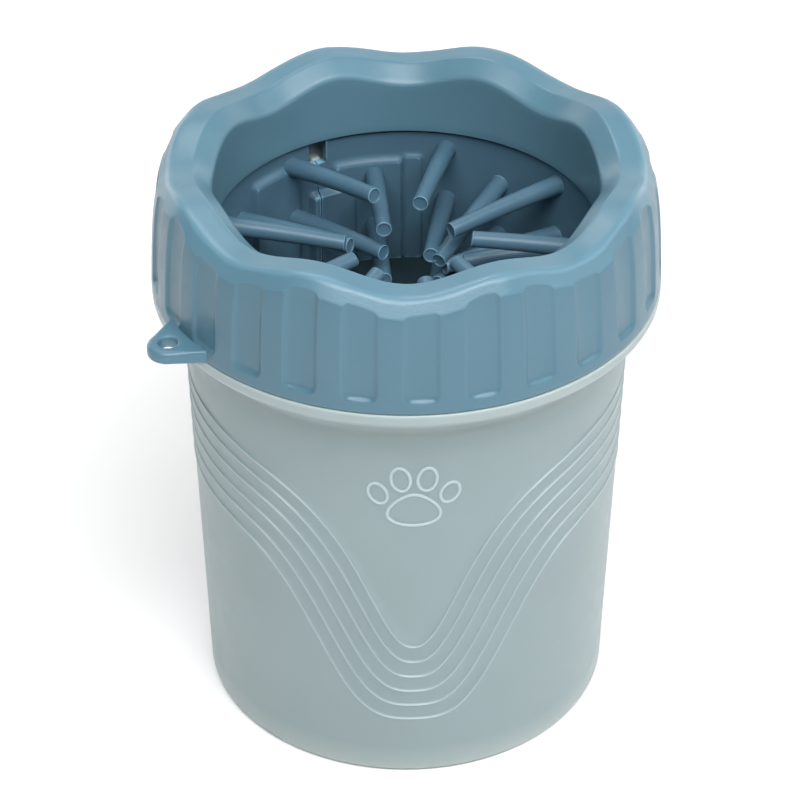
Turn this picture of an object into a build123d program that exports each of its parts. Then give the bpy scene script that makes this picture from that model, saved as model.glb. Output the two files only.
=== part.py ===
"""Paw washer cup: a translucent cup, a screw collar with a wavy rim, and a rolled silicone
bristle sleeve that the collar clamps on the neck of the cup.

Millimetres, +Z up, the origin at the centre of the cup's base. The collar's lug is at the front
left, so the front is -Y. Every piece stands in its closed place, with the collar screwed down.
"""
from build123d import *
from math import atan, cos, degrees, radians, sin, tan
import os

# --- the cup ---------------------------------------------------------------------------------
base_radius = 45.6
shoulder_radius = 48.4        # where the straight wall ends
shoulder_z = 96.0
flange_radius = 55.0
flange_low_z = 101.6
flange_top_z = 104.6
wall = 1.9
floor_thickness = 2.4
neck_radius = 49.4
neck_inner_radius = 47.2
neck_top_z = 119.0
key_angle = 153.2             # degrees to the left of the front: a small key behind the notch
key_reach = 44.8              # its inner face, from the axis
key_width = 2.6
key_low_z = 104.4
key_high_z = 108.4

# --- the screw collar ------------------------------------------------------------------------
collar_bottom_z = 105.0
collar_radius = 55.0
collar_waist_radius = 53.7
collar_waist_z = 121.5
collar_bore = 51.6            # inner radius of the threaded wall
skirt_radius = 41.1           # the smooth wall round the mouth
skirt_wall = 2.0
skirt_bottom_z = 114.9
lip_z = 130.4
ridge_radius = 49.9
ridge_z = 133.4
lobes = 8
lobe_dip = 2.6                # how far the rim drops between two lobes
lobe_cutter_radius = 30.0
lobe_cutter_length = 20.0
lobe_cutter_reach = 47.0      # the cutter's middle, from the axis
lobe_tilt = 5.0               # degrees: the lip drops more than the outer ridge does
rib_inner_radius = 46.0       # the rib that clamps the sleeve's flange
rib_outer_radius = 48.0
clamp_gap = 0.3

# --- grip recesses round the collar ------------------------------------------------------------
recess_count = 27
recess_width = 6.8
recess_depth = 0.8
recess_bottom_z = 108.1
recess_first_angle = 3.3      # degrees to the right of the front

# --- the thread --------------------------------------------------------------------------------
thread_starts = 3
thread_lead = 12.0
thread_arc = 100.0            # degrees that each ridge runs
thread_root_width = 1.6
thread_crest_width = 0.9
neck_thread_height = 1.5
collar_thread_height = 1.7
thread_low_z = 108.6
root_overlap = 0.4            # how far a ridge is sunk in its wall, so that they fuse

# --- the lanyard lug ---------------------------------------------------------------------------
lug_angle = 56.5              # degrees to the left of the front
lug_base_half_angle = 8.6
lug_hole_radius = 2.0
lug_hole_centre = 59.2        # from the cup's axis
lug_nose_radius = 4.4
lug_thickness = 2.8
lug_edge = 0.5

# --- the bristle sleeve ------------------------------------------------------------------------
sleeve_radius = 42.3          # inner face, below the skirt
sleeve_wall = 1.8
sleeve_bottom_z = 80.6
sleeve_neck_radius = 43.6     # inner face beside the skirt
sleeve_step_low_z = 111.6
sleeve_step_high_z = 114.4
sleeve_flange_radius = 49.2
sleeve_flange_thickness = 1.6
slit_angle = 151.8            # degrees to the left of the front
slit_gap = 0.4
notch_width = 4.4
notch_bottom_z = 108.6
cut_reach = 45.0              # the middle of the slit and the notch, from the axis
cut_length = 12.0

# --- the bristles ------------------------------------------------------------------------------
bristle_rows = 5
bristles_in_row = 8
bristle_top_z = 110.2
bristle_row_pitch = 6.6
bristle_first_angle = 37.5    # degrees to the right of the front, for the odd rows
bristle_root_radius = 2.1
bristle_tip_radius = 1.9
bristle_tip_reach = 14.0      # tip's distance from the axis


def heading(front_angle):
    """Turn an angle measured from the front (-Y), positive to the right, into a polar angle."""
    return front_angle - 90.0


def thread_ridge(root_radius, height, middle_z, start_angle):
    """One helical ridge on a wall of root_radius; a negative height points inwards."""
    rise = thread_lead * thread_arc / 360.0
    turned = Location((0, 0, middle_z), (0, 0, start_angle))
    path = turned * Helix(pitch=thread_lead, height=rise, radius=root_radius)
    outward = Vector(cos(radians(start_angle)), sin(radians(start_angle)), 0)
    section_plane = Plane(origin=path @ 0, x_dir=outward, z_dir=path % 0)
    inset = -root_overlap if height > 0 else root_overlap
    half_root = thread_root_width / 2
    half_crest = thread_crest_width / 2
    with BuildSketch(section_plane, mode=Mode.PRIVATE) as section:
        with BuildLine():
            Polyline(
                (inset, -half_root), (height, -half_crest), (height, half_crest), (inset, half_root),
                close=True,
            )
        make_face()
    return sweep(section.sketch, path=path, is_frenet=True, mode=Mode.PRIVATE)


def cup_profile():
    """Half section of the cup, on the XZ plane."""
    floor_inner_radius = base_radius - wall + 0.1
    with BuildLine() as outline:
        Polyline(
            (0, 0), (base_radius, 0), (shoulder_radius, shoulder_z),
            (flange_radius - 1.4, flange_low_z - 0.6), (flange_radius, flange_low_z + 0.8),
            (flange_radius, flange_top_z), (neck_radius, flange_top_z), (neck_radius, neck_top_z),
            (neck_inner_radius, neck_top_z), (neck_inner_radius, flange_low_z - 1.0),
            (shoulder_radius - wall, shoulder_z), (floor_inner_radius, floor_thickness),
            (0, floor_thickness),
            close=True,
        )
    return outline.line


# --- cup -----------------------------------------------------------------------------------------
with BuildPart() as cup:
    with BuildSketch(Plane.XZ):
        add(cup_profile())
        make_face()
    revolve(axis=Axis.Z)
    base_edge = cup.edges().filter_by(GeomType.CIRCLE).sort_by(Axis.Z)[0]
    fillet(base_edge, radius=1.5)
    for start in range(thread_starts):
        add(thread_ridge(neck_radius, neck_thread_height, thread_low_z, start * 360.0 / thread_starts))
    key_depth = neck_inner_radius + root_overlap - key_reach
    key_middle = Pos(key_reach + key_depth / 2, 0, (key_low_z + key_high_z) / 2)
    with Locations(Rot(0, 0, heading(-key_angle)) * key_middle):
        Box(key_depth, key_width, key_high_z - key_low_z)
cup.part.label = "cup"

# --- screw collar --------------------------------------------------------------------------------
clamp_z = neck_top_z + sleeve_flange_thickness + clamp_gap
with BuildPart() as screw_collar:
    with BuildSketch(Plane.XZ):
        with BuildLine():
            outer_wall = Polyline(
                (skirt_radius, lip_z), (skirt_radius, skirt_bottom_z),
                (skirt_radius + skirt_wall, skirt_bottom_z), (skirt_radius + skirt_wall, 124.6),
                (rib_inner_radius, 126.2), (rib_inner_radius, clamp_z), (rib_outer_radius, clamp_z),
                (rib_outer_radius, 127.4), (49.2, 127.4), (50.9, 125.4), (collar_bore, 122.4),
                (collar_bore, collar_bottom_z), (collar_radius, collar_bottom_z),
                (collar_waist_radius, collar_waist_z),
            )
            shoulder = ThreePointArc(
                (collar_waist_radius, collar_waist_z), (52.6, 129.2), (ridge_radius, ridge_z)
            )
            Spline(
                (ridge_radius, ridge_z), (46.0, 131.6), (skirt_radius, lip_z),
                tangents=[(-1, -0.1), (-1, -0.35)],
            )
        make_face()
    revolve(axis=Axis.Z)
    # The waves of the rim: one shallow round cutter over each gap between two lobes.
    dip_floor_z = ridge_z - lobe_dip
    for lobe in range(lobes):
        trough_angle = heading(lobe * 360.0 / lobes)
        over_rim = Rot(0, 0, trough_angle) * Pos(lobe_cutter_reach, 0, dip_floor_z)
        lying = Rot(0, 90 - lobe_tilt, 0) * Pos(-lobe_cutter_radius, 0, 0)
        with Locations(over_rim * lying):
            Cylinder(lobe_cutter_radius, lobe_cutter_length, mode=Mode.SUBTRACT)
    # Grip recesses: shallow pockets that run up into the rim.
    lean = degrees(atan((collar_radius - collar_waist_radius) / (collar_waist_z - collar_bottom_z)))
    recess_height = 30.0
    pocket_thickness = 4.0
    for recess in range(recess_count):
        turn = heading(recess_first_angle + recess * 360.0 / recess_count)
        wall_radius = collar_radius - (recess_bottom_z - collar_bottom_z) * tan(radians(lean))
        pocket_foot = Pos(wall_radius - recess_depth, 0, recess_bottom_z) * Rot(0, -lean, 0)
        pocket_middle = Pos(pocket_thickness / 2, 0, recess_height / 2)
        with Locations(Rot(0, 0, turn) * pocket_foot * pocket_middle):
            Box(pocket_thickness, recess_width, recess_height, mode=Mode.SUBTRACT)
    half_pitch = thread_lead / thread_starts / 2
    for start in range(thread_starts):
        turn = start * 360.0 / thread_starts
        add(thread_ridge(collar_bore, -collar_thread_height, thread_low_z - half_pitch, turn))
screw_collar.part.label = "screw_collar"

# --- lanyard lug ---------------------------------------------------------------------------------
with BuildPart() as lanyard_lug:
    with BuildSketch(Plane.XY.offset(collar_bottom_z).rotated((0, 0, heading(-lug_angle)))):
        base_half = collar_radius * sin(radians(lug_base_half_angle))
        base_x = collar_radius * cos(radians(lug_base_half_angle)) - 1.2
        with BuildLine():
            Polyline(
                (base_x, -base_half), (lug_hole_centre, -lug_nose_radius),
                (lug_hole_centre, lug_nose_radius), (base_x, base_half),
                close=True,
            )
        make_face()
        with Locations((lug_hole_centre, 0)):
            Circle(lug_nose_radius)
            Circle(lug_hole_radius, mode=Mode.SUBTRACT)
    extrude(amount=lug_thickness)
    hole_edges = lanyard_lug.edges().filter_by(GeomType.CIRCLE).filter_by(
        lambda edge: abs(edge.radius - lug_hole_radius) < 0.01
    )
    chamfer(hole_edges, length=lug_edge)
    with BuildSketch(Plane.XY.offset(collar_bottom_z)):
        Circle(collar_radius + 0.02)
    extrude(amount=lug_thickness, mode=Mode.SUBTRACT)
lanyard_lug.part.label = "lanyard_lug"

# --- bristle sleeve ------------------------------------------------------------------------------
flange_z = neck_top_z + sleeve_flange_thickness
with BuildPart() as bristle_sleeve:
    with BuildSketch(Plane.XZ):
        with BuildLine():
            Polyline(
                (sleeve_radius, sleeve_bottom_z), (sleeve_radius + sleeve_wall, sleeve_bottom_z),
                (sleeve_radius + sleeve_wall, sleeve_step_low_z),
                (sleeve_neck_radius + sleeve_wall, sleeve_step_high_z),
                (sleeve_neck_radius + sleeve_wall, neck_top_z), (sleeve_flange_radius, neck_top_z),
                (sleeve_flange_radius, flange_z), (sleeve_neck_radius, flange_z),
                (sleeve_neck_radius, sleeve_step_high_z), (sleeve_radius, sleeve_step_low_z),
                close=True,
            )
        make_face()
    revolve(axis=Axis.Z)
    # The two ends of the rolled sheet: a fine slit, and a notch at its top.
    at_slit = Rot(0, 0, heading(-slit_angle))
    slit_height = notch_bottom_z - sleeve_bottom_z + 2.0
    notch_height = flange_z - notch_bottom_z + 2.0
    with Locations(at_slit * Pos(cut_reach, 0, notch_bottom_z - slit_height / 2)):
        Box(cut_length, slit_gap, slit_height, mode=Mode.SUBTRACT)
    with Locations(at_slit * Pos(cut_reach, 0, notch_bottom_z + notch_height / 2)):
        Box(cut_length, notch_width, notch_height, mode=Mode.SUBTRACT)
bristle_sleeve.part.label = "bristle_sleeve"

# --- bristle rows --------------------------------------------------------------------------------
rows = []
for row in range(bristle_rows):
    row_z = bristle_top_z - row * bristle_row_pitch
    pitch_angle = 360.0 / bristles_in_row
    row_angle = heading(bristle_first_angle + (pitch_angle / 2 if row % 2 else 0.0))
    root_reach = sleeve_radius + 1.5
    with BuildPart() as bristle_row:
        for bristle in range(bristles_in_row):
            turned = Pos(0, 0, row_z) * Rot(0, 0, row_angle + bristle * pitch_angle)
            lying = Pos((root_reach + bristle_tip_reach) / 2, 0, 0) * Rot(0, -90, 0)
            with Locations(turned * lying):
                Cone(bristle_root_radius, bristle_tip_radius, root_reach - bristle_tip_reach)
        with BuildSketch(Plane.XY.offset(row_z - 2 * bristle_root_radius)):
            Circle(sleeve_radius)
        extrude(amount=4 * bristle_root_radius, mode=Mode.INTERSECT)
    bristle_row.part.label = f"bristle_row_{row + 1}"
    rows.append(bristle_row)

os.makedirs("parts", exist_ok=True)
export_step(cup.part, "parts/cup.step")
export_step(screw_collar.part, "parts/screw_collar.step")
export_step(lanyard_lug.part, "parts/lanyard_lug.step")
export_step(bristle_sleeve.part, "parts/bristle_sleeve.step")
for bristle_row in rows:
    export_step(bristle_row.part, f"parts/{bristle_row.part.label}.step")
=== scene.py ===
"""Looks of the paw washer cup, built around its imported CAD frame.

Metres, +Z up, the front at -Y. Places come from the frame's boxes. Profiles are written in
millimetres, as on a drawing, and turned into metres when a mesh is made.
"""
import math

import bmesh
import bpy
import numpy as np
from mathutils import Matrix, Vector


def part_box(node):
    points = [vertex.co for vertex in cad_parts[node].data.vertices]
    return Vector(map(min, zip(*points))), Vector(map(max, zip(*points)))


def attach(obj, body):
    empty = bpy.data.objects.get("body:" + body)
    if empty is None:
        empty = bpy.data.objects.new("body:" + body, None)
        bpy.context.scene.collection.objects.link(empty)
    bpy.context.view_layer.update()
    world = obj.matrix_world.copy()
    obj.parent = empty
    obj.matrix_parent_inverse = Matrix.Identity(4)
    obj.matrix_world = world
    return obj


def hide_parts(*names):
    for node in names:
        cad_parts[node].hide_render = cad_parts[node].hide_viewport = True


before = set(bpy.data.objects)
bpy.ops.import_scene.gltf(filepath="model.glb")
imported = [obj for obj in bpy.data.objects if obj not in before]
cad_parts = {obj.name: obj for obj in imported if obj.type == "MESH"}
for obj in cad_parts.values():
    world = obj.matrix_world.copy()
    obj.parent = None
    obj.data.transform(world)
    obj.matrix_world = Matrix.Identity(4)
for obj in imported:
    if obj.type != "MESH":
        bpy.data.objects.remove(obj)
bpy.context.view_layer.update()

MM = 0.001

# --- places from the frame, in millimetres -----------------------------------------------------
cup_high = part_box("cup")[1]
collar_low, collar_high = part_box("screw_collar")
sleeve_low, sleeve_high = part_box("bristle_sleeve")
neck_top = cup_high.z / MM
collar_foot = collar_low.z / MM
rim_top = collar_high.z / MM
sleeve_foot = sleeve_low.z / MM
sleeve_head = sleeve_high.z / MM
outer_radius = (collar_high.x - collar_low.x) / 2 / MM

# --- driving dimensions, in millimetres and degrees ---------------------------------------------
base_radius = 45.6
shoulder_radius = 48.4
shoulder_z = 96.0
cup_wall = 1.9
neck_radius = 49.4
neck_inner_radius = 47.2
collar_bore = 51.6
mouth_radius = 41.1
skirt_foot = 114.9
lobes = 8
recess_count = 27
recess_first = 3.3
recess_half_width = 3.45
recess_depth = 0.85
recess_foot = 108.1
recess_corner = 1.5
recess_flank = 1.2
thread_starts = 3
thread_lead = 12.0
thread_arc = 100.0
thread_low = 108.6
neck_thread = 1.5
bore_thread = 1.7
lug_angle = 56.5
lug_hole_centre = 59.2
lug_hole_radius = 2.0
lug_nose_radius = 4.4
lug_thickness = 2.8
lug_base_half = 8.2
slit_angle = 151.8
sleeve_radius = 42.3
sleeve_wall = 1.8
sleeve_neck_radius = 43.4


def smooth(x):
    """0 below 0, 1 above 1, and an even ramp between."""
    x = np.clip(x, 0.0, 1.0)
    return x * x * (3.0 - 2.0 * x)


def polar(front_angle):
    """Radians round +Z for an angle in degrees from the front, positive to the right."""
    return np.radians(np.asarray(front_angle, float) - 90.0)


def angle_gap(a, b):
    """Signed difference of two angles in degrees, from -180 to 180."""
    return (np.asarray(a) - b + 180.0) % 360.0 - 180.0


def unit(v):
    return v / np.maximum(np.linalg.norm(v, axis=-1, keepdims=True), 1e-9)


# --- meshes -------------------------------------------------------------------------------------
def store(mesh, name, values):
    """Keep a value at each vertex for the materials to read."""
    if name in mesh.attributes:
        mesh.attributes.remove(mesh.attributes[name])
    stored = mesh.attributes.new(name, "FLOAT", "POINT")
    stored.data.foreach_set("value", np.asarray(values, np.float32))


def mark_edges(mesh):
    """Store how convex the surface is at each vertex, for the materials' painted highlights on convex edges.
    """
    places = np.empty(len(mesh.vertices) * 3)
    normals = np.empty(len(mesh.vertices) * 3)
    ends = np.empty(len(mesh.edges) * 2, int)
    mesh.vertices.foreach_get("co", places)
    mesh.vertices.foreach_get("normal", normals)
    mesh.edges.foreach_get("vertices", ends)
    places = places.reshape(-1, 3)
    normals = normals.reshape(-1, 3)
    near, far = ends.reshape(-1, 2).T
    count = len(places)
    number = np.bincount(near, minlength=count) + np.bincount(far, minlength=count)
    way = unit(places[far] - places[near])
    fall_near = -(normals[near] * way).sum(axis=1)
    fall_far = (normals[far] * way).sum(axis=1)
    convex = np.bincount(near, fall_near, count) + np.bincount(far, fall_far, count)
    convex = convex / np.maximum(number, 1)
    around = np.bincount(near, convex[far], count) + np.bincount(far, convex[near], count)
    convex = (convex + around) / (1 + number)
    store(mesh, "convex", convex)


def new_object(name, verts, faces):
    """A smooth-shaded object, with its normals facing out."""
    mesh = bpy.data.meshes.new(name)
    mesh.from_pydata(verts, [], faces)
    made = bmesh.new()
    made.from_mesh(mesh)
    bmesh.ops.recalc_face_normals(made, faces=made.faces)
    made.to_mesh(mesh)
    made.free()
    mesh.polygons.foreach_set("use_smooth", [True] * len(mesh.polygons))
    mark_edges(mesh)
    obj = bpy.data.objects.new(name, mesh)
    bpy.context.scene.collection.objects.link(obj)
    return obj


def grid_faces(rows, cols, wrap_rows):
    """Quads between the rows of a grid whose columns go all the way round."""
    first = np.arange(rows if wrap_rows else rows - 1)
    i = first[:, None]
    j = np.arange(cols)[None, :]
    i_next = (i + 1) % rows
    j_next = (j + 1) % cols
    quads = np.stack([i * cols + j, i * cols + j_next, i_next * cols + j_next, i_next * cols + j], axis=-1)
    return quads.reshape(-1, 4).tolist()


def ring_grid(name, radius, height, front_angle, closed):
    """A turned piece: radius and height are (rows, columns) in mm. An open one ends on the axis."""
    turn = polar(front_angle)
    points = np.stack([radius * np.cos(turn), radius * np.sin(turn), height], axis=-1) * MM
    rows, cols = height.shape
    verts = points.reshape(-1, 3).tolist()
    faces = grid_faces(rows, cols, closed)
    if not closed:
        for row in (0, rows - 1):
            verts.append([0.0, 0.0, float(height[row, 0]) * MM])
            pole = len(verts) - 1
            faces += [[row * cols + j, row * cols + (j + 1) % cols, pole] for j in range(cols)]
    return new_object(name, verts, faces)


def section(keys, blend, closed):
    """Rows of a profile through its keys, each (point, crest point, "line" or "curve", steps).

    A curve leaves and meets a line along it, so the corners are round. blend (one value a column)
    goes from the key's first point to its crest point. steps is a count, or a list of fractions.
    """
    first = np.array([k[0] for k in keys], float)[:, None, :]
    crest = np.array([k[1] or k[0] for k in keys], float)[:, None, :]
    points = first + (crest - first) * np.asarray(blend, float)[None, :, None]
    kinds = [k[2] for k in keys]
    count = len(keys)
    spans = count if closed else count - 1
    chord = [points[(k + 1) % count] - points[k] for k in range(spans)]
    tangents = []
    for k in range(count):
        before = k - 1 if (closed or k > 0) else None
        after = k if (closed or k < spans) else None
        if before is None:
            tangents.append(unit(chord[after]))
        elif after is None or kinds[before] == "line":
            tangents.append(unit(chord[before]))
        elif kinds[after] == "line":
            tangents.append(unit(chord[after]))
        else:
            near = np.linalg.norm(chord[before], axis=-1, keepdims=True)
            far = np.linalg.norm(chord[after], axis=-1, keepdims=True)
            tangents.append(unit(unit(chord[before]) * far + unit(chord[after]) * near))
    rows = []
    for k in range(spans):
        steps = keys[k][3]
        fractions = np.arange(steps) / steps if isinstance(steps, int) else np.array(steps)
        start = points[k]
        end = points[(k + 1) % count]
        length = np.linalg.norm(chord[k], axis=-1, keepdims=True)
        for u in fractions:
            if kinds[k] == "line":
                rows.append(start + (end - start) * u)
                continue
            h01 = u * u * (3 - 2 * u)
            h10 = u * (1 - u) ** 2
            h11 = u * u * (u - 1)
            leave = tangents[k] * length
            meet = tangents[(k + 1) % count] * length
            rows.append(start * (1 - h01) + end * h01 + leave * h10 + meet * h11)
    if not closed:
        rows.append(points[-1])
    return np.stack(rows)


def thread_height(front_angle, z, middle_z, height):
    """How far the thread stands out of its wall at each point."""
    turn = (np.asarray(front_angle) - 90.0)[None, :]
    out = np.zeros(np.broadcast(z, turn).shape)
    for start in range(thread_starts):
        along = (turn - start * 360.0 / thread_starts) % 360.0
        middle = middle_z + thread_lead * along / 360.0
        flank = np.clip((0.8 - np.abs(z - middle)) / 0.35, 0.0, 1.0)
        ends = smooth(along / 4.0) * smooth((thread_arc - along) / 4.0)
        out = np.maximum(out, height * flank * ends)
    return out


# --- materials ----------------------------------------------------------------------------------
# Noises, by how fine they are.
flow_scale = 28.0
uneven_scale = 60.0
gloss_scale = 220.0
grain_scale = 2600.0
noise_band = (0.3, 0.7)       # the part of a noise's range that is used
gloss_spread = 0.05
uneven_strength = 0.15
uneven_depth = 0.6            # millimetres
grain_depth = 0.08
# Tints, each an RGB colour with its alpha: painted light and painted shade.
# Painted light: the cup's thick floor and its undercut shoulder made paler, as where light comes through.
floor_painted_light = (0.62, 0.68, 0.67, 1)
shoulder_painted_light = (0.64, 0.72, 0.71, 1)
# Painted shade inside the cup, darkest low down.
inside_tint = (0.03, 0.075, 0.105, 1)
inside_floor_tint = (0.003, 0.01, 0.016, 1)
# Painted shade on the collar's grip wall and in its recesses.
grip_painted_shade = (0.064, 0.153, 0.208, 1)
grip_shade_share = 0.5


def ranged(material, source, low, high, to_low, to_high):
    """A node's value taken from one range to another, and held at the ends."""
    made = material.node_tree.nodes.new("ShaderNodeMapRange")
    for socket, value in zip(("From Min", "From Max", "To Min", "To Max"), (low, high, to_low, to_high)):
        made.inputs[socket].default_value = value
    material.node_tree.links.new(source, made.inputs["Value"])
    return made.outputs["Result"]


def noise(material, scale, detail):
    """Noise that stays on the piece as it moves."""
    spot = material.node_tree.nodes.new("ShaderNodeTexCoord")
    made = material.node_tree.nodes.new("ShaderNodeTexNoise")
    made.inputs["Scale"].default_value = scale
    made.inputs["Detail"].default_value = detail
    material.node_tree.links.new(spot.outputs["Object"], made.inputs["Vector"])
    return made.outputs["Fac"]


def stored(material, name):
    """A value that the mesh keeps at each vertex."""
    made = material.node_tree.nodes.new("ShaderNodeAttribute")
    made.attribute_name = name
    return made.outputs["Fac"]


def tinted(material, colour, tint, share):
    """A fixed colour or a node's, taken towards a tint by a node's share."""
    made = material.node_tree.nodes.new("ShaderNodeMix")
    made.data_type = "RGBA"
    made.inputs["B"].default_value = tint
    if isinstance(colour, tuple):
        made.inputs["A"].default_value = colour
    else:
        material.node_tree.links.new(colour, made.inputs["A"])
    material.node_tree.links.new(share, made.inputs["Factor"])
    return made.outputs["Result"]


def bumped(material, height, strength, depth):
    """A bump node, with its depth in millimetres."""
    made = material.node_tree.nodes.new("ShaderNodeBump")
    made.inputs["Strength"].default_value = strength
    made.inputs["Distance"].default_value = depth * MM
    material.node_tree.links.new(height, made.inputs["Height"])
    return made


def product(material, first, second):
    """Two nodes' values multiplied."""
    made = material.node_tree.nodes.new("ShaderNodeMath")
    made.operation = "MULTIPLY"
    material.node_tree.links.new(first, made.inputs[0])
    material.node_tree.links.new(second, made.inputs[1])
    return made.outputs["Value"]


def moulded(name, colour, roughness, grain, shade=0.06, ior=1.46, edge_highlight=0.45, pale=1.5, edge=(0.03, 0.13)):
    """A moulded plastic or rubber: base colour with slow variation, fine grain, and painted highlights on its
    convex edges.
    """
    material = bpy.data.materials.new(name)
    material.use_nodes = True
    links = material.node_tree.links
    shader = material.node_tree.nodes["Principled BSDF"]
    shader.inputs["IOR"].default_value = ior
    # Slow variation of the colour, as in a moulding's flow.
    darker = (*[c * (1 - shade) for c in colour], 1)
    lighter = (*[min(c * (1 + shade), 1) for c in colour], 1)
    flow = ranged(material, noise(material, flow_scale, 3.0), *noise_band, 0.0, 1.0)
    base = tinted(material, darker, lighter, flow)
    # Painted highlights: convex edges made paler, standing in for their shine.
    highlight_colour = (*[min(c * pale + 0.03, 1) for c in colour], 1)
    base = tinted(material, base, highlight_colour, ranged(material, stored(material, "convex"), *edge, 0.0, edge_highlight))
    links.new(base, shader.inputs["Base Color"])
    gloss = noise(material, gloss_scale, 4.0)
    rough = ranged(material, gloss, *noise_band, roughness - gloss_spread, roughness + gloss_spread)
    links.new(rough, shader.inputs["Roughness"])
    # Fine moulded grain over a little slow unevenness.
    fine = bumped(material, noise(material, grain_scale, 2.0), grain, grain_depth)
    slow = bumped(material, noise(material, uneven_scale, 2.0), uneven_strength, uneven_depth)
    links.new(slow.outputs["Normal"], fine.inputs["Normal"])
    links.new(fine.outputs["Normal"], shader.inputs["Normal"])
    return material, shader


def shade_cup(material, shader):
    """Paint light on the cup at its thick floor and shoulder, and paint shade inside, where little light
    comes.
    """
    nodes = material.node_tree.nodes
    links = material.node_tree.links
    spot = nodes.new("ShaderNodeTexCoord").outputs["Object"]
    split = nodes.new("ShaderNodeSeparateXYZ")
    links.new(spot, split.inputs["Vector"])
    z = split.outputs["Z"]
    flat = nodes.new("ShaderNodeVectorMath")
    flat.operation = "MULTIPLY"
    flat.inputs[1].default_value = (1, 1, 0)
    links.new(spot, flat.inputs[0])
    radius = nodes.new("ShaderNodeVectorMath")
    radius.operation = "LENGTH"
    links.new(flat.outputs["Vector"], radius.inputs[0])
    # The radius without the wall's taper, so that one value parts the inside from the outside.
    untapered = nodes.new("ShaderNodeMath")
    untapered.operation = "MULTIPLY_ADD"
    untapered.inputs[1].default_value = -(shoulder_radius - base_radius) / shoulder_z
    links.new(z, untapered.inputs[0])
    links.new(radius.outputs["Value"], untapered.inputs[2])
    middle = base_radius - cup_wall / 2
    within = ranged(material, untapered.outputs["Value"], (middle + 0.4) * MM, (middle - 0.4) * MM, 0.0, 1.0)
    above_floor = ranged(material, z, 1.0 * MM, 1.6 * MM, 0.0, 1.0)
    below_neck = ranged(material, z, 96.0 * MM, 94.5 * MM, 0.0, 1.0)
    deep = ranged(material, z, 20.0 * MM, 3.0 * MM, 0.0, 0.8)
    inside = product(material, within, above_floor)
    # Painted light at the floor and shoulder, painted shade inside.
    shares = (
        (ranged(material, z, 1.5 * MM, 7.5 * MM, 0.55, 0.0), floor_painted_light),
        (ranged(material, z, 92.0 * MM, 99.0 * MM, 0.0, 0.45), shoulder_painted_light),
        (product(material, inside, below_neck), inside_tint),
        (product(material, inside, deep), inside_floor_tint),
    )
    colour = shader.inputs["Base Color"].links[0].from_socket
    for share, tint in shares:
        colour = tinted(material, colour, tint, share)
    links.new(colour, shader.inputs["Base Color"])


def shade_collar(material, shader):
    """Paint shade on the collar's grip wall, and a little more in its recesses."""
    share = ranged(material, stored(material, "grip"), 0.0, 1.0, 0.0, grip_shade_share)
    colour = tinted(material, shader.inputs["Base Color"].links[0].from_socket, grip_painted_shade, share)
    material.node_tree.links.new(colour, shader.inputs["Base Color"])


def make_collar_plastic():
    material, shader = moulded("collar_plastic", (0.104, 0.217, 0.286), roughness=0.33, grain=0.4)
    shade_collar(material, shader)
    return material


def make_silicone():
    # Its paler edges are painted highlights, as on the bristles' tip rims.
    material, shader = moulded(
        "silicone", (0.075, 0.154, 0.217), roughness=0.38, grain=0.2,
        ior=1.41, edge_highlight=0.9, pale=2.8, edge=(0.1, 0.22),
    )
    shader.inputs["Subsurface Weight"].default_value = 0.15
    shader.inputs["Subsurface Radius"].default_value = (0.6, 0.9, 1.0)
    shader.inputs["Subsurface Scale"].default_value = 1.5 * MM
    return material


def make_cup_plastic():
    # Its paler edges are painted highlights, as along the wave ribs.
    material, shader = moulded(
        "cup_plastic", (0.375, 0.48, 0.5), roughness=0.4, grain=0.2, shade=0.03, ior=1.49, edge_highlight=0.9, pale=1.6,
    )
    shade_cup(material, shader)
    shader.inputs["Transmission Weight"].default_value = 0.3
    shader.inputs["Subsurface Weight"].default_value = 0.4
    shader.inputs["Subsurface Radius"].default_value = (1.0, 1.0, 1.0)
    shader.inputs["Subsurface Scale"].default_value = 1.5 * MM
    return material


collar_plastic = make_collar_plastic()
silicone = make_silicone()
cup_plastic = make_cup_plastic()


def place(obj, body, slot, material, *nodes):
    """Give a piece its body, material and the CAD nodes that it stands for. slot is not used."""
    obj.data.materials.clear()
    obj.data.materials.append(material)
    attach(obj, body)
    if nodes:
        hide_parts(*nodes)


# --- cup ----------------------------------------------------------------------------------------
relief_centre = 1.85          # degrees right of the front
relief_levels = (0.0, 0.2, 0.4, 0.6, 0.8, 1.0)    # 0 is the highest wave line, 1 the lowest
relief_height = 0.45
relief_rise = 0.35
relief_fall = 0.8
relief_fade = 0.45            # share of its height that a wave loses at the cup's sides
# Shape of the wave lines, each (at the highest line, change down to the lowest line).
wave_beside = (78.5, -19.8)   # height beside a dip, in mm
wave_uplift = (6.1, -3.9)     # further rise towards the cup's sides, in mm
wave_dip = (37.5, -21.8)      # height at the middle of a dip, in mm
wave_dip_bow = 0.8
wave_width = (18.1, 20.6)     # half width of a dip, in degrees
wave_flank = (2.16, 1.06)     # powers that shape the dip's flanks and tails
wave_tail = (1.33, 1.35)
flange_radius = outer_radius - 0.02


def at_level(pair, level):
    return pair[0] + pair[1] * level


def from_dip(front_angle):
    """Degrees from the middle of the nearer dip, 0 to 90."""
    return np.abs((np.asarray(front_angle) - relief_centre + 90.0) % 180.0 - 90.0)


def wave_line(level, front_angle):
    """Height of a wave line at each angle: a deep dip at the front and one at the back."""
    away = from_dip(front_angle)
    high = at_level(wave_beside, level) + at_level(wave_uplift, level) * np.sin(np.radians(away))
    low = at_level(wave_dip, level) + wave_dip_bow * level ** 2
    spread_out = (away / at_level(wave_width, level)) ** at_level(wave_flank, level)
    return high - (high - low) / (1.0 + spread_out) ** at_level(wave_tail, level)


def wall_radius(z):
    return base_radius + (shoulder_radius - base_radius) * z / shoulder_z


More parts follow.
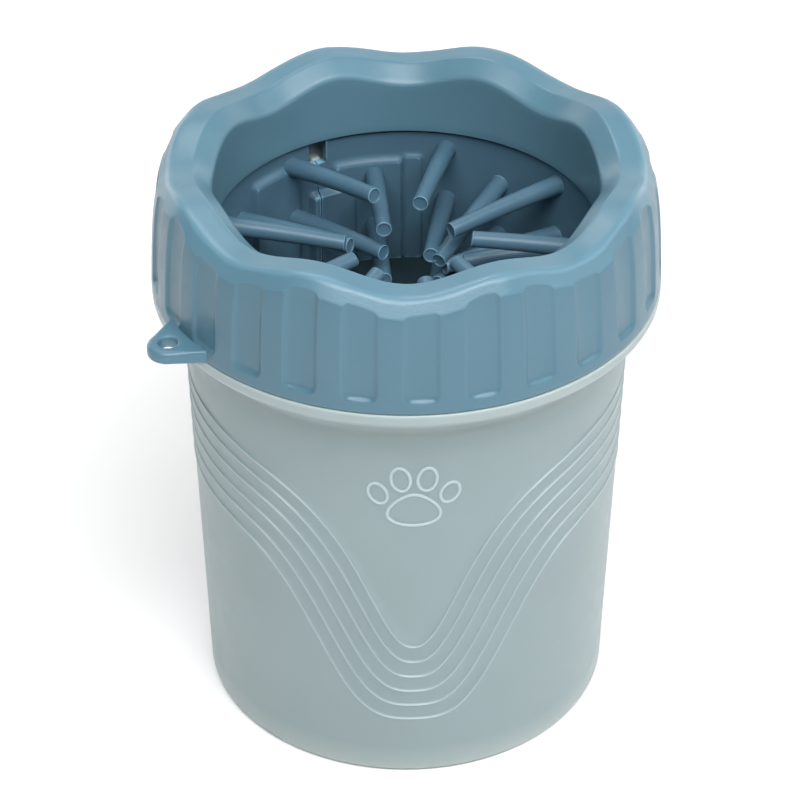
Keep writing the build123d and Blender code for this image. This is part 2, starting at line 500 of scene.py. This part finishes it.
def cup_columns():
    """Angles of the cup's columns, closer where the wave lines run steeply."""
    away = [0.0]
    while away[-1] < 90.0:
        away.append(away[-1] + 0.52 + 0.8 * float(smooth((away[-1] - 38.0) / 15.0)))
    away = np.array(away[:-1]) * 90.0 / away[-1]
    mirrored = 180.0 - away[::-1] - 90.0 / len(away) / 2
    quarters = [relief_centre + 180.0 * half + side for half in (0, 1) for side in (away, mirrored)]
    return np.unique(np.concatenate(quarters) % 360.0)


def cup_underside(columns):
    """Rows from the middle of the floor's underside out to the foot of the wall."""
    keys = [
        ((0.4, 0.35), None, "line", 2), ((1.6, 0.35), None, "curve", 3), ((2.4, 0.0), None, "line", 2),
        ((30.0, 0.0), None, "curve", 2), ((30.5, 0.25), None, "curve", 2), ((31.0, 0.0), None, "line", 2),
        ((44.2, 0.0), None, "curve", 6), ((wall_radius(1.5), 1.5), None, "line", 2),
        ((wall_radius(3.0), 3.0), None, "line", 1),
    ]
    return section(keys, np.zeros(columns), closed=False)


def wave_wall(angle):
    """Rows of the wall, which follow the wave lines, so that each step has a clean edge."""
    lines = [wave_line(level, angle) for level in relief_levels]
    wide = ((np.roll(angle, -1) - np.roll(angle, 1)) % 360.0) * math.radians(1) * shoulder_radius
    slopes = [np.sqrt(1 + ((np.roll(z, -1) - np.roll(z, 1)) / wide) ** 2) for z in lines]
    heights = []
    span = np.linspace(0, 1, 9, endpoint=False)[1:]
    floor_line = lines[-1] - 3.0 * slopes[-1]
    heights += [3.0 + (floor_line - 3.0) * u for u in span]
    for k in reversed(range(len(lines))):
        below = -np.array([3.0, 2.2, 1.5, 0.9, 0.5, 0.25, 0.0])
        if k < len(lines) - 1:
            room = (lines[k] - lines[k + 1]) / slopes[k] - relief_rise
            squeezed = [-np.minimum(-b, room * (0.94 - 0.1 * i)) for i, b in enumerate(below[:4])]
            below = squeezed + list(below[4:])
        heights += [lines[k] + b * slopes[k] for b in below]
        heights += [lines[k] + f * relief_rise * slopes[k] for f in (0.3, 0.65, 1.0)]
    top_line = lines[0] + relief_rise * slopes[0]
    heights += [top_line + (shoulder_z - 0.6 - top_line) * u for u in np.linspace(0, 1, 11)[1:]]
    wall_z = np.stack(heights)
    lift = np.zeros_like(wall_z)
    for z, slope in zip(lines, slopes):
        under = (z - wall_z) / slope
        step = np.where(under >= 0, np.exp(-under / relief_fall), smooth(1 + under / relief_rise))
        lift = np.maximum(lift, step)
    # The waves stand out less at the cup's sides.
    stand = relief_height * (1 - relief_fade * smooth((from_dip(angle) - 40.0) / 45.0))
    return np.stack([wall_radius(wall_z) + stand * lift, wall_z], axis=-1)


def cup_neck_and_inside(angle):
    """Rows over the shoulder, up the threaded neck and down the inside to the middle of the floor."""
    thread_rows = (np.arange(26) / 26).tolist()
    inner_foot = base_radius - cup_wall + 0.1
    keys = [
        ((wall_radius(95.9), 95.9), None, "curve", 5), ((49.3, 98.3), None, "curve", 4),
        ((52.2, 100.3), None, "curve", 4), ((flange_radius - 0.75, 101.6), None, "curve", 5),
        ((flange_radius, 103.0), None, "line", 3), ((flange_radius, 104.5), None, "curve", 3),
        ((flange_radius - 0.35, 104.85), None, "line", 2), ((49.9, 104.85), None, "curve", 3),
        ((neck_radius, 105.3), None, "line", thread_rows),
        ((neck_radius, neck_top - 0.35), None, "curve", 3),
        ((neck_radius - 0.35, neck_top), None, "line", 1),
        ((neck_inner_radius + 0.35, neck_top), None, "curve", 3),
        ((neck_inner_radius, neck_top - 0.35), None, "line", 3),
        ((neck_inner_radius, 101.4), None, "curve", 3), ((shoulder_radius - cup_wall, 96.4), None, "line", 5),
        ((inner_foot, 4.4), None, "curve", 5), ((41.8, 2.4), None, "line", 4), ((0.4, 2.4), None, "line", 1),
    ]
    rows = section(keys, np.zeros(len(angle)), closed=False)
    on_neck = (rows[..., 0] > neck_radius - 0.01) & (rows[..., 0] < neck_radius + 0.01)
    rows[..., 0] += np.where(on_neck, thread_height(angle, rows[..., 1], thread_low, neck_thread), 0.0)
    return rows


def make_cup():
    angle = cup_columns()
    rows = np.concatenate([cup_underside(len(angle))[:-1], wave_wall(angle), cup_neck_and_inside(angle)])
    return ring_grid("cup_shell", rows[..., 0], rows[..., 1], angle[None, :], closed=False)


place(make_cup(), "cup", "cup_plastic", cup_plastic, "cup")

# --- paw print moulded on the cup's front ------------------------------------------------------------
paw_middle_z = 78.5
paw_bead = 0.3                # how far the bead stands out
paw_bead_wide = 0.39          # half its width
# Outlines, each (middle across, middle up, half width, half height, lean in degrees, squareness).
paw_shapes = (
    (0.0, -2.9, 5.4, 4.1, 0.0, 0.3),
    (-7.6, 1.4, 1.9, 2.7, 24.0, 0.0),
    (-2.8, 5.2, 2.0, 3.0, 8.0, 0.0),
    (2.8, 5.2, 2.0, 3.0, -8.0, 0.0),
    (7.6, 1.4, 1.9, 2.7, -24.0, 0.0),
)


def make_paw():
    """Beads round five pads, half sunk in the cup's wall."""
    steps = 72
    sides = 8
    verts = []
    faces = []
    for across, up, half_width, half_height, lean, squareness in paw_shapes:
        a = np.arange(steps) * 2 * math.pi / steps
        # The heel pad is wider at its foot than at its head.
        x = half_width * np.cos(a) * (1 - squareness * np.sin(a))
        y = half_height * np.sin(a)
        turn = math.radians(lean)
        u = across + x * math.cos(turn) - y * math.sin(turn)
        z = paw_middle_z + up + x * math.sin(turn) + y * math.cos(turn)
        radius = wall_radius(z)
        heading = polar(relief_centre + np.degrees(u / radius))
        middle = np.stack([radius * np.cos(heading), radius * np.sin(heading), z], axis=-1)
        along = unit(np.roll(middle, -1, axis=0) - np.roll(middle, 1, axis=0))
        out = np.stack([np.cos(heading), np.sin(heading), 0 * z], axis=-1)
        side = np.cross(along, out)
        start = len(verts)
        for k in range(sides):
            b = 2 * math.pi * k / sides
            bead = middle + side * (paw_bead_wide * math.cos(b)) + out * (paw_bead * math.sin(b))
            verts += (bead * MM).tolist()
        ring = grid_faces(sides, steps, True)
        faces += [[i + start for i in face] for face in ring]
    return new_object("paw_relief", verts, faces)


place(make_paw(), "cup", "cup_plastic", cup_plastic)

# --- the neck's key, behind the sleeve's notch --------------------------------------------------------
key_angle = 153.2
key_half_width = 1.3
key_half_depth = 1.5
key_sides = 24
# The block's rings, each (height, inset).
key_rings = ((104.4, 0.0), (107.4, 0.0), (107.9, 0.08), (108.2, 0.25), (108.4, 0.6))


def make_key():
    """A small upright block on the neck's inner wall, with rounded ends and top."""
    rows = []
    for z, inset in key_rings:
        ring = []
        for k in range(key_sides):
            a = 2 * math.pi * k / key_sides
            # A squared oval, from inside the neck's wall to the key's inner face.
            across = (key_half_width - inset) * math.copysign(abs(math.cos(a)) ** 0.4, math.cos(a))
            inwards = (key_half_depth - inset) * math.copysign(abs(math.sin(a)) ** 0.4, math.sin(a))
            ring.append((neck_inner_radius - 0.9 + inwards, across, z))
        rows.append(ring)
    turn = float(polar(-key_angle))
    verts = []
    for out, side, z in (point for ring in rows for point in ring):
        x = out * math.cos(turn) - side * math.sin(turn)
        y = out * math.sin(turn) + side * math.cos(turn)
        verts.append((x * MM, y * MM, z * MM))
    faces = grid_faces(len(rows), key_sides, False)
    faces += [list(range(key_sides)), list(range(len(verts) - key_sides, len(verts)))]
    return new_object("neck_key", verts, faces)


place(make_key(), "cup", "cup_plastic", cup_plastic)


# --- collar -------------------------------------------------------------------------------------
def recess_shape(side, z):
    """Depth of a grip recess, 0 to 1, at a distance to the side of its middle and a height."""
    beyond_side = np.abs(side) - (recess_half_width - recess_corner)
    beyond_foot = (recess_foot + recess_corner) - z
    corner = np.hypot(np.maximum(beyond_side, 0), np.maximum(beyond_foot, 0))
    inside = np.minimum(np.maximum(beyond_side, beyond_foot), 0)
    distance = corner + inside - recess_corner
    scoop = 0.7 + 0.4 * (1 - np.clip(np.abs(side) / recess_half_width, 0, 1) ** 2)
    return smooth(0.5 - distance / recess_flank) * scoop


def spread(points, share):
    """Points at shares (rows, columns) along a profile of points (rows, columns, 2)."""
    place_at = share * (len(points) - 1)
    low = np.clip(np.floor(place_at).astype(int), 0, len(points) - 2)
    part = (place_at - low)[..., None]
    column = np.arange(points.shape[1])[None, :]
    return points[low, column] * (1 - part) + points[low + 1, column] * part


collar_wall_radius = outer_radius - 0.03
ridge_top = rim_top - 0.08
grip_foot = collar_foot + 0.45
crest_depth = (0.5, 0.4)      # share of the recesses' depth at the crease: in a trough, more at a crest
# Heights of the grip wall's rows above its foot; the last ones follow the crease.
grip_steps = (
    0, 0.5, 1.0, 1.6, 2.0, 2.3, 2.55, 2.8, 3.05, 3.3, 3.7, 4.3, 5.2, 6.5, 8, 9.5, 11, 12.5, 14, 15.5,
    16.7, 17.7, 18.5, 19.1, 19.5, 19.75,
)


def collar_columns():
    """Angles of the collar's columns, closer at the sides of each recess."""
    pitch = 360.0 / recess_count
    beside = np.array([0, 1.0, 2.0, 2.7, 3.05, 3.35, 3.6, 3.85, 4.1, 4.45, 5.0, 5.8])
    offsets = np.concatenate([-pitch / 2 + np.zeros(1), -beside[:0:-1], beside])
    return np.concatenate([recess_first + k * pitch + offsets for k in range(recess_count)])


def collar_outside(angle, crest):
    """Rows of the grip wall and of the ridge over it, and the distance to the nearest recess's middle."""
    # The ridge's outer slope, from the crease on the wall up to the ridge's flat top.
    slope = section(
        [
            ((53.0, 126.8), (52.75, 130.1), "line", 36), ((51.1, 129.35), (50.9, 132.6), "curve", 12),
            ((50.2, 130.15), (50.0, ridge_top - 0.05), "line", 1),
            ((49.9, 130.17), (49.7, ridge_top - 0.02), "line", 1),
        ],
        crest, closed=False,
    )
    head = slope[0]
    pitch = 360.0 / recess_count
    side = angle_gap((angle - recess_first + pitch / 2) % pitch, pitch / 2)
    side = np.radians(side)[None, :] * outer_radius
    depth_top = recess_depth * at_level(crest_depth, crest)

    def recessed(z):
        """Radius of the wall with its recesses, which get shallower towards the crease."""
        u = np.clip((z - grip_foot) / (head[:, 1] - grip_foot), 0, 1)
        plain = collar_wall_radius + (head[:, 0] - collar_wall_radius) * (0.55 * u + 0.45 * u ** 4)
        depth = recess_depth + (depth_top - recess_depth) * u ** 1.5
        return plain - depth * recess_shape(side, z)

    # The crease is where the slope meets the recessed wall.
    slope_wall = recessed(slope[..., 1])
    inside = slope[..., 0] <= slope_wall + 1e-6
    first = np.argmax(inside, axis=0)
    before = np.maximum(first - 1, 0)
    column = np.arange(len(angle))
    gap_before = (slope[..., 0] - slope_wall)[before, column]
    gap_after = (slope[..., 0] - slope_wall)[first, column]
    part = np.where(first > 0, gap_before / np.maximum(gap_before - gap_after, 1e-9), 0)
    crease_share = (before + part) / (len(slope) - 1)
    crease = spread(slope, crease_share[None, :])[0]
    # Wall rows: level at the foot, and following the crease at the top.
    wall_z = grip_foot + np.array(grip_steps)[:, None] + np.zeros((1, len(angle)))
    follow = smooth((wall_z - grip_foot - 4.0) / 15.0)
    wall_z = wall_z + follow * (crease[:, 1] - 0.2 - wall_z[-1:])
    wall_z = np.minimum(wall_z, crease[None, :, 1] - 0.2)
    wall = np.stack([recessed(wall_z), wall_z], axis=-1)
    over = np.array([0.0, 0.12, 0.3, 0.6, 1.0, 1.6, 2.4, 3.2, 4.1]) / 5.0
    ridge = spread(slope, crease_share[None, :] + (1 - crease_share[None, :]) * over[:, None])
    outer = np.concatenate([wall, ridge])
    # Two passes of smoothing round the crease.
    count = len(wall)
    for _ in range(2):
        eased = (outer[count - 4:count + 2] + 2 * outer[count - 3:count + 3] + outer[count - 2:count + 4]) / 4
        outer[count - 3:count + 3] = eased
    return outer, recess_shape(side, wall_z)


def collar_inside(angle, crest):
    """Rows from the ridge's top down the mouth, round the inner skirt and down the threaded bore."""
    keys = [
        ((49.9, 130.17), (49.7, ridge_top - 0.02), "line", 4),
        ((45.45, 130.38), (45.25, ridge_top - 0.02), "curve", 5),
        ((44.65, 130.02), (44.5, 132.95), "line", 4), ((42.1, 127.75), (42.05, 130.95), "curve", 6),
        ((mouth_radius, 126.2), (mouth_radius, 129.4), "line", 8),
        ((mouth_radius, skirt_foot + 0.25), None, "curve", 3),
        ((mouth_radius + 0.25, skirt_foot), None, "line", 2),
        ((42.85, skirt_foot), None, "curve", 3), ((43.1, skirt_foot + 0.25), None, "line", 6),
        ((43.1, 124.6), None, "line", 2), ((46.0, 126.2), None, "line", 2),
        ((46.0, 121.2), None, "curve", 2), ((46.3, 120.95), None, "line", 1),
        ((47.7, 120.95), None, "curve", 2), ((48.0, 121.2), None, "line", 2),
        ((48.0, 127.2), None, "line", 1), ((49.2, 127.2), None, "line", 2), ((50.6, 124.4), None, "line", 2),
        ((collar_bore, 121.6), None, "line", (np.arange(44) / 44).tolist()),
        ((collar_bore, collar_foot + 0.3), None, "line", 1),
    ]
    rows = section(keys, crest, closed=False)
    bore = rows[-45:]
    half_pitch = thread_lead / thread_starts / 2
    bore[..., 0] -= thread_height(angle, bore[..., 1], thread_low - half_pitch, bore_thread)
    return rows


def make_collar():
    angle = collar_columns()
    crest = (1 - np.cos(np.radians(lobes * angle))) / 2
    foot = section(
        [
            ((collar_bore + 0.3, collar_foot), None, "line", 2),
            ((collar_wall_radius - 0.4, collar_foot), None, "curve", 4),
            ((collar_wall_radius, grip_foot), None, "line", 1),
        ],
        crest, closed=False,
    )[:-1]
    outer, recesses = collar_outside(angle, crest)
    rows = np.concatenate([foot, outer, collar_inside(angle, crest)])
    collar = ring_grid("collar_shell", rows[..., 0], rows[..., 1], angle[None, :], closed=True)
    # Painted shade on the grip wall, a little more in the recesses.
    grip = np.zeros(rows.shape[:2])
    grip[:len(foot) + len(recesses)] = 1.0
    grip[len(foot):len(foot) + len(recesses)] += 0.2 * recesses
    store(collar.data, "grip", grip.ravel())
    return collar


place(make_collar(), "collar", "collar_plastic", collar_plastic, "screw_collar")


# --- lanyard lug ----------------------------------------------------------------------------------
lug_root_radius = 53.2
lug_nose_turn = 68.0          # degrees from the lug's axis to where the nose meets the flank
lug_hole_round = 0.4          # rounding of the hole's upper edge
lug_top_round = 1.1
lug_foot_round = 0.5


def lug_reach(angle):
    """Distance from the hole's centre to the lug's outline, in the lug's own axes (+X outwards)."""
    root_x = lug_root_radius - lug_hole_centre
    turn = math.radians(lug_nose_turn)
    nose = np.array([math.cos(turn), math.sin(turn)]) * lug_nose_radius
    flank = np.array([root_x, lug_base_half]) - nose
    reach = []
    for a in angle:
        way = np.array([math.cos(a), abs(math.sin(a))])
        # The flank is the straight line from the nose's end to the root's corner.
        across = way[0] * flank[1] - way[1] * flank[0]
        to_flank = (nose[0] * flank[1] - nose[1] * flank[0]) / across if across > 1e-6 else 1e9
        to_root = root_x / way[0] if way[0] < -1e-6 else 1e9
        reach.append(lug_nose_radius if math.atan2(way[1], way[0]) < turn else min(to_flank, to_root))
    return np.array(reach)


def make_lug():
    columns = 144
    angle = np.arange(columns) * 2 * math.pi / columns
    outline = lug_reach(angle)
    low = collar_foot + 0.02
    high = collar_foot + lug_thickness
    hole = np.full(columns, lug_hole_radius)
    rings = [(hole, low + lug_foot_round), (hole, high - 0.6)]
    for u in (0.25, 0.5, 0.75, 1.0):
        bend = u * math.pi / 2
        rings.append((hole + lug_hole_round * (1 - math.cos(bend)), high - 0.6 + 0.6 * math.sin(bend)))
    for u in (0.3, 0.6, 0.8):
        rings.append((hole + lug_hole_round + (outline - lug_top_round - hole - lug_hole_round) * u, high))
    for bend in np.linspace(0, 1, 6) * math.pi / 2:
        drop = lug_top_round * (1 - math.cos(bend))
        rings.append((outline - lug_top_round * (1 - math.sin(bend)), high - drop))
    for bend in np.linspace(0, 1, 5) * math.pi / 2:
        rise = lug_foot_round * (1 - math.sin(bend))
        rings.append((outline - lug_foot_round * (1 - math.cos(bend)), low + rise))
    rings.append((hole + 0.45, low))
    rings.append((hole + 0.12, low + 0.14))
    reach = np.stack([ring[0] for ring in rings])
    z = np.array([ring[1] for ring in rings])[:, None] + np.zeros((1, columns))
    out = lug_hole_centre + reach * np.cos(angle)
    side = reach * np.sin(angle)
    turn = float(polar(-lug_angle))
    x = out * math.cos(turn) - side * math.sin(turn)
    y = out * math.sin(turn) + side * math.cos(turn)
    points = np.stack([x, y, z], axis=-1) * MM
    faces = grid_faces(len(rings), columns, True)
    lug = new_object("lanyard_lug_shell", points.reshape(-1, 3).tolist(), faces)
    # The lug gets the grip wall's painted shade.
    store(lug.data, "grip", np.ones(len(rings) * columns))
    return lug


place(make_lug(), "collar", "collar_plastic", collar_plastic, "lanyard_lug")

# --- bristle sleeve --------------------------------------------------------------------------------
slit_width = 0.3
slit_top = 110.0
notch_width = 4.5
notch_foot = 108.6
pad_edge = 0.7                # width of a pad's rounded side
# Raised pads on the sheet's inner face, each (left edge, right edge, top, bevel of the top, height).
# Angles are degrees from the front; beyond 180 they come round on the right.
sleeve_pads = (
    (-145, -126, 111.0, 1.6, 1.3),
    (-164, -149, 101.6, 0.9, 1.8),
    (-179, -157, 108.0, 1.4, 1.1),
    (-185, -179, 108.4, 0.6, 0.8),
)


def pad_height(front_angle, z):
    """How far the pads stand in from the sheet."""
    out = np.zeros(np.broadcast(front_angle, z).shape)
    for left, right, top, bevel, height in sleeve_pads:
        middle = (left + right) / 2
        half = (right - left) / 2
        beside = (half - np.abs(angle_gap(front_angle, middle))) * math.radians(1) * sleeve_radius
        under = top - z
        out = np.maximum(out, height * smooth(beside / pad_edge + 0.3) * np.clip(under / bevel, 0, 1))
    return out


def cut_out(sleeve, width, low, high):
    """Cut an upright slot through the sheet at the slit's angle."""
    turn = float(polar(-slit_angle))
    blade = bpy.data.meshes.new("cutter")
    tool = bmesh.new()
    bmesh.ops.create_cube(tool, size=1.0)
    for vert in tool.verts:
        out = 45.0 + vert.co.x * 12.0
        side = vert.co.y * width
        z = (low + high) / 2 + vert.co.z * (high - low)
        x = out * math.cos(turn) - side * math.sin(turn)
        y = out * math.sin(turn) + side * math.cos(turn)
        vert.co = (x * MM, y * MM, z * MM)
    tool.to_mesh(blade)
    tool.free()
    cutter = bpy.data.objects.new("cutter", blade)
    bpy.context.scene.collection.objects.link(cutter)
    cut = sleeve.modifiers.new("cut", "BOOLEAN")
    cut.operation = "DIFFERENCE"
    cut.solver = "EXACT"
    cut.object = cutter
    graph = bpy.context.evaluated_depsgraph_get()
    result = bpy.data.meshes.new_from_object(sleeve.evaluated_get(graph), depsgraph=graph)
    sleeve.modifiers.clear()
    sleeve.data = result
    bpy.data.objects.remove(cutter)


def make_sleeve():
    columns = 460
    inner_rows = 60
    angle = np.arange(columns) * 360.0 / columns + 0.2
    bottom = sleeve_foot + 0.02
    head = sleeve_head - 0.02
    outer = sleeve_radius + sleeve_wall
    neck_outer = sleeve_neck_radius + sleeve_wall
    keys = [
        ((sleeve_radius, bottom + 0.4), None, "line", inner_rows), ((sleeve_radius, 113.7), None, "curve", 6),
        ((sleeve_neck_radius, 114.75), None, "line", 6), ((sleeve_neck_radius, head - 0.3), None, "curve", 3),
        ((sleeve_neck_radius + 0.3, head), None, "line", 2), ((48.8, head), None, "curve", 3),
        ((49.15, head - 0.4), None, "line", 1), ((49.15, neck_top + 0.45), None, "curve", 3),
        ((48.8, neck_top + 0.05), None, "line", 2), ((45.9, neck_top + 0.05), None, "curve", 3),
        ((neck_outer, neck_top - 0.5), None, "line", 4),
        ((neck_outer, 114.5), None, "curve", 5), ((outer, 111.6), None, "line", 14),
        ((outer, bottom + 0.4), None, "curve", 3), ((outer - 0.4, bottom), None, "line", 2),
        ((sleeve_radius + 0.4, bottom), None, "curve", 3),
    ]
    rows = section(keys, np.zeros(columns), closed=True)
    inner = (np.arange(len(rows)) < inner_rows)[:, None]
    radius = rows[..., 0] - pad_height(angle[None, :], rows[..., 1]) * inner
    sleeve = ring_grid("sleeve_sheet", radius, rows[..., 1], angle[None, :], closed=True)
    cut_out(sleeve, slit_width, sleeve_foot - 2, slit_top)
    cut_out(sleeve, notch_width, notch_foot, sleeve_head + 2)
    mark_edges(sleeve.data)
    sleeve.data.set_sharp_from_angle(angle=math.radians(50))
    return sleeve


place(make_sleeve(), "sleeve", "silicone", silicone, "bristle_sleeve")

# --- bristles ------------------------------------------------------------------------------------
bristle_rows = 5
bristles_in_row = 8
bristle_length = 28.4
bristle_root = 2.15
bristle_tip = 1.76
bristle_first = 37.5          # degrees right of the front
bristle_droop = 1.1
bristle_sides = 28
bristle_rise = 5.0            # degrees up towards the tip, where none is given below
# How the soft fingers that show most have set, in steps of 5 degrees:
# (row, place round the sleeve): (root's turn round the sleeve, sideways lean, lean up to the tip).
# The first two move the root and the tip counter-clockwise, seen from above.
bristle_leans = {
    (0, 0): (0, 5, 5), (0, 1): (5, 0, 5), (0, 2): (0, 5, -5), (0, 3): (-5, 0, 5),
    (0, 4): (0, -5, 10), (0, 5): (-5, -5, -5), (0, 7): (0, 0, -10),
    (1, 1): (0, 10, -5), (1, 2): (0, 0, -10), (1, 3): (-5, 5, 5), (1, 6): (0, 5, 20), (1, 7): (0, 0, 15),
    (2, 2): (0, 10, 0), (2, 3): (-5, -5, 5), (2, 4): (0, -10, 5),
    (3, 3): (-5, 5, 5), (4, 3): (-5, -5, 5),
}


def make_bristle(origin, way):
    """Points of one tapered finger with a dished end, as rings round its bent line."""
    side = way.cross(Vector((0, 0, 1))).normalized()
    lift = side.cross(way).normalized()
    rings = [(-1.2, 2.4), (-0.1, 2.35), (0.25, 2.26), (0.6, 2.19), (1.0, bristle_root)]
    for u in np.linspace(0, 1, 16)[1:]:
        rings.append((1.0 + (bristle_length - 1.25) * u, bristle_root + (bristle_tip - bristle_root) * u))
    for u in np.linspace(0, 1, 7)[1:]:
        bend = u * math.pi
        rim = bristle_tip - 0.16 * (1 - math.cos(bend))
        rings.append((bristle_length - 0.25 + 0.2 * math.sin(bend), rim))
    rings += [(bristle_length - 0.3, bristle_tip - 0.45), (bristle_length - 0.32, 0.5)]
    points = []
    for along, radius in rings:
        share = along / bristle_length
        middle = origin + way * along - lift * (bristle_droop * share * share)
        for k in range(bristle_sides):
            a = 2 * math.pi * k / bristle_sides
            points.append((middle + side * (radius * math.cos(a)) + lift * (radius * math.sin(a))) * MM)
    faces = grid_faces(len(rings), bristle_sides, False)
    faces.append(list(range(bristle_sides)))
    last = (len(rings) - 1) * bristle_sides
    faces.append(list(range(last, last + bristle_sides)))
    return points, faces


def make_row(row):
    pitch = 360.0 / bristles_in_row
    low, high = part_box(f"bristle_row_{row + 1}")
    z = (low.z + high.z) / 2 / MM
    points = []
    faces = []
    for k in range(bristles_in_row):
        shift, sideways, upwards = bristle_leans.get((row, k), (0, 0, bristle_rise))
        turn = float(polar(bristle_first + pitch * (k + 0.5 * (row % 2)) + shift))
        out = Vector((math.cos(turn), math.sin(turn), 0))
        across = Vector((-math.sin(turn), math.cos(turn), 0))
        yaw = math.radians(sideways)
        tilt = math.radians(upwards) + bristle_droop / bristle_length
        way = -out * math.cos(yaw) * math.cos(tilt) + across * math.sin(yaw) * math.cos(tilt)
        way.z = math.sin(tilt)
        origin = out * sleeve_radius + Vector((0, 0, z))
        more, rings = make_bristle(origin, way.normalized())
        start = len(points)
        points += [tuple(p) for p in more]
        faces += [[i + start for i in f] for f in rings]
    obj = new_object(f"bristles_{row + 1}", points, faces)
    obj.data.set_sharp_from_angle(angle=math.radians(60))
    return obj


for row in range(bristle_rows):
    place(make_row(row), "sleeve", "silicone", silicone, f"bristle_row_{row + 1}")


# --- floor, light and camera ----------------------------------------------------------------------
floor_reach = 3.0             # metres
light_aim = Vector((0, 0, 0.08))
# Each (name, place and size in metres, power in watts).
lights = (
    ("key_low", (0.12, -0.7, 1.04), (1.2, 0.5), 15.0),
    ("key_high", (0.1, -0.45, 1.2), (1.0, 0.6), 5.0),
    ("right", (1.0, 0.0, 0.8), (0.8, 0.6), 3.5),
    ("back_left", (-0.9, 1.0, 0.3), (1.0, 0.6), 4.2),
    ("back_right", (0.9, 1.0, 0.3), (1.0, 0.6), 3.5),
    ("back", (0.0, 1.1, 0.5), (1.2, 0.7), 2.4),
    ("back_high", (-0.2, 0.5, 1.1), (0.6, 0.35), 3.6),
)
world_strength = 0.02
camera_elevation = 35.49      # degrees
camera_distance = 0.669       # metres
camera_lens = 135.0           # millimetres, on a sensor 36 mm wide
camera_aim = Vector((-0.00136, 0, 0.0698))


def make_floor():
    mesh = bpy.data.meshes.new("floor")
    corners = [(x * floor_reach, y * floor_reach, 0) for x, y in ((-1, -1), (1, -1), (1, 1), (-1, 1))]
    mesh.from_pydata(corners, [], [(0, 1, 2, 3)])
    floor = bpy.data.objects.new("floor", mesh)
    bpy.context.scene.collection.objects.link(floor)
    paper = bpy.data.materials.new("floor_paper")
    paper.use_nodes = True
    shader = paper.node_tree.nodes["Principled BSDF"]
    shader.inputs["Base Color"].default_value = (0.96, 0.96, 0.96, 1)
    shader.inputs["Roughness"].default_value = 0.9
    mesh.materials.append(paper)


def make_light(name, place_at, size, watts):
    """A soft light that faces the cup."""
    data = bpy.data.lights.new(name, "AREA")
    data.shape = "RECTANGLE"
    data.size, data.size_y = size
    data.energy = watts
    lamp = bpy.data.objects.new(name, data)
    lamp.location = place_at
    lamp.rotation_euler = (light_aim - Vector(place_at)).to_track_quat("-Z", "Y").to_euler()
    bpy.context.scene.collection.objects.link(lamp)


def make_world():
    world = bpy.data.worlds.new("studio")
    world.use_nodes = True
    background = world.node_tree.nodes["Background"]
    background.inputs["Color"].default_value = (1, 1, 1, 1)
    background.inputs["Strength"].default_value = world_strength
    bpy.context.scene.world = world


def make_camera():
    lens = bpy.data.cameras.new("camera")
    lens.lens = camera_lens
    lens.sensor_width = 36.0
    camera = bpy.data.objects.new("camera", lens)
    bpy.context.scene.collection.objects.link(camera)
    elevation = math.radians(camera_elevation)
    away = Vector((0, -math.cos(elevation), math.sin(elevation)))
    camera.location = camera_aim + away * camera_distance
    camera.rotation_euler = (-away).to_track_quat("-Z", "Y").to_euler()
    bpy.context.scene.camera = camera


make_floor()
for light in lights:
    make_light(*light)
make_world()
make_camera()
bpy.context.scene.view_settings.view_transform = "Standard"
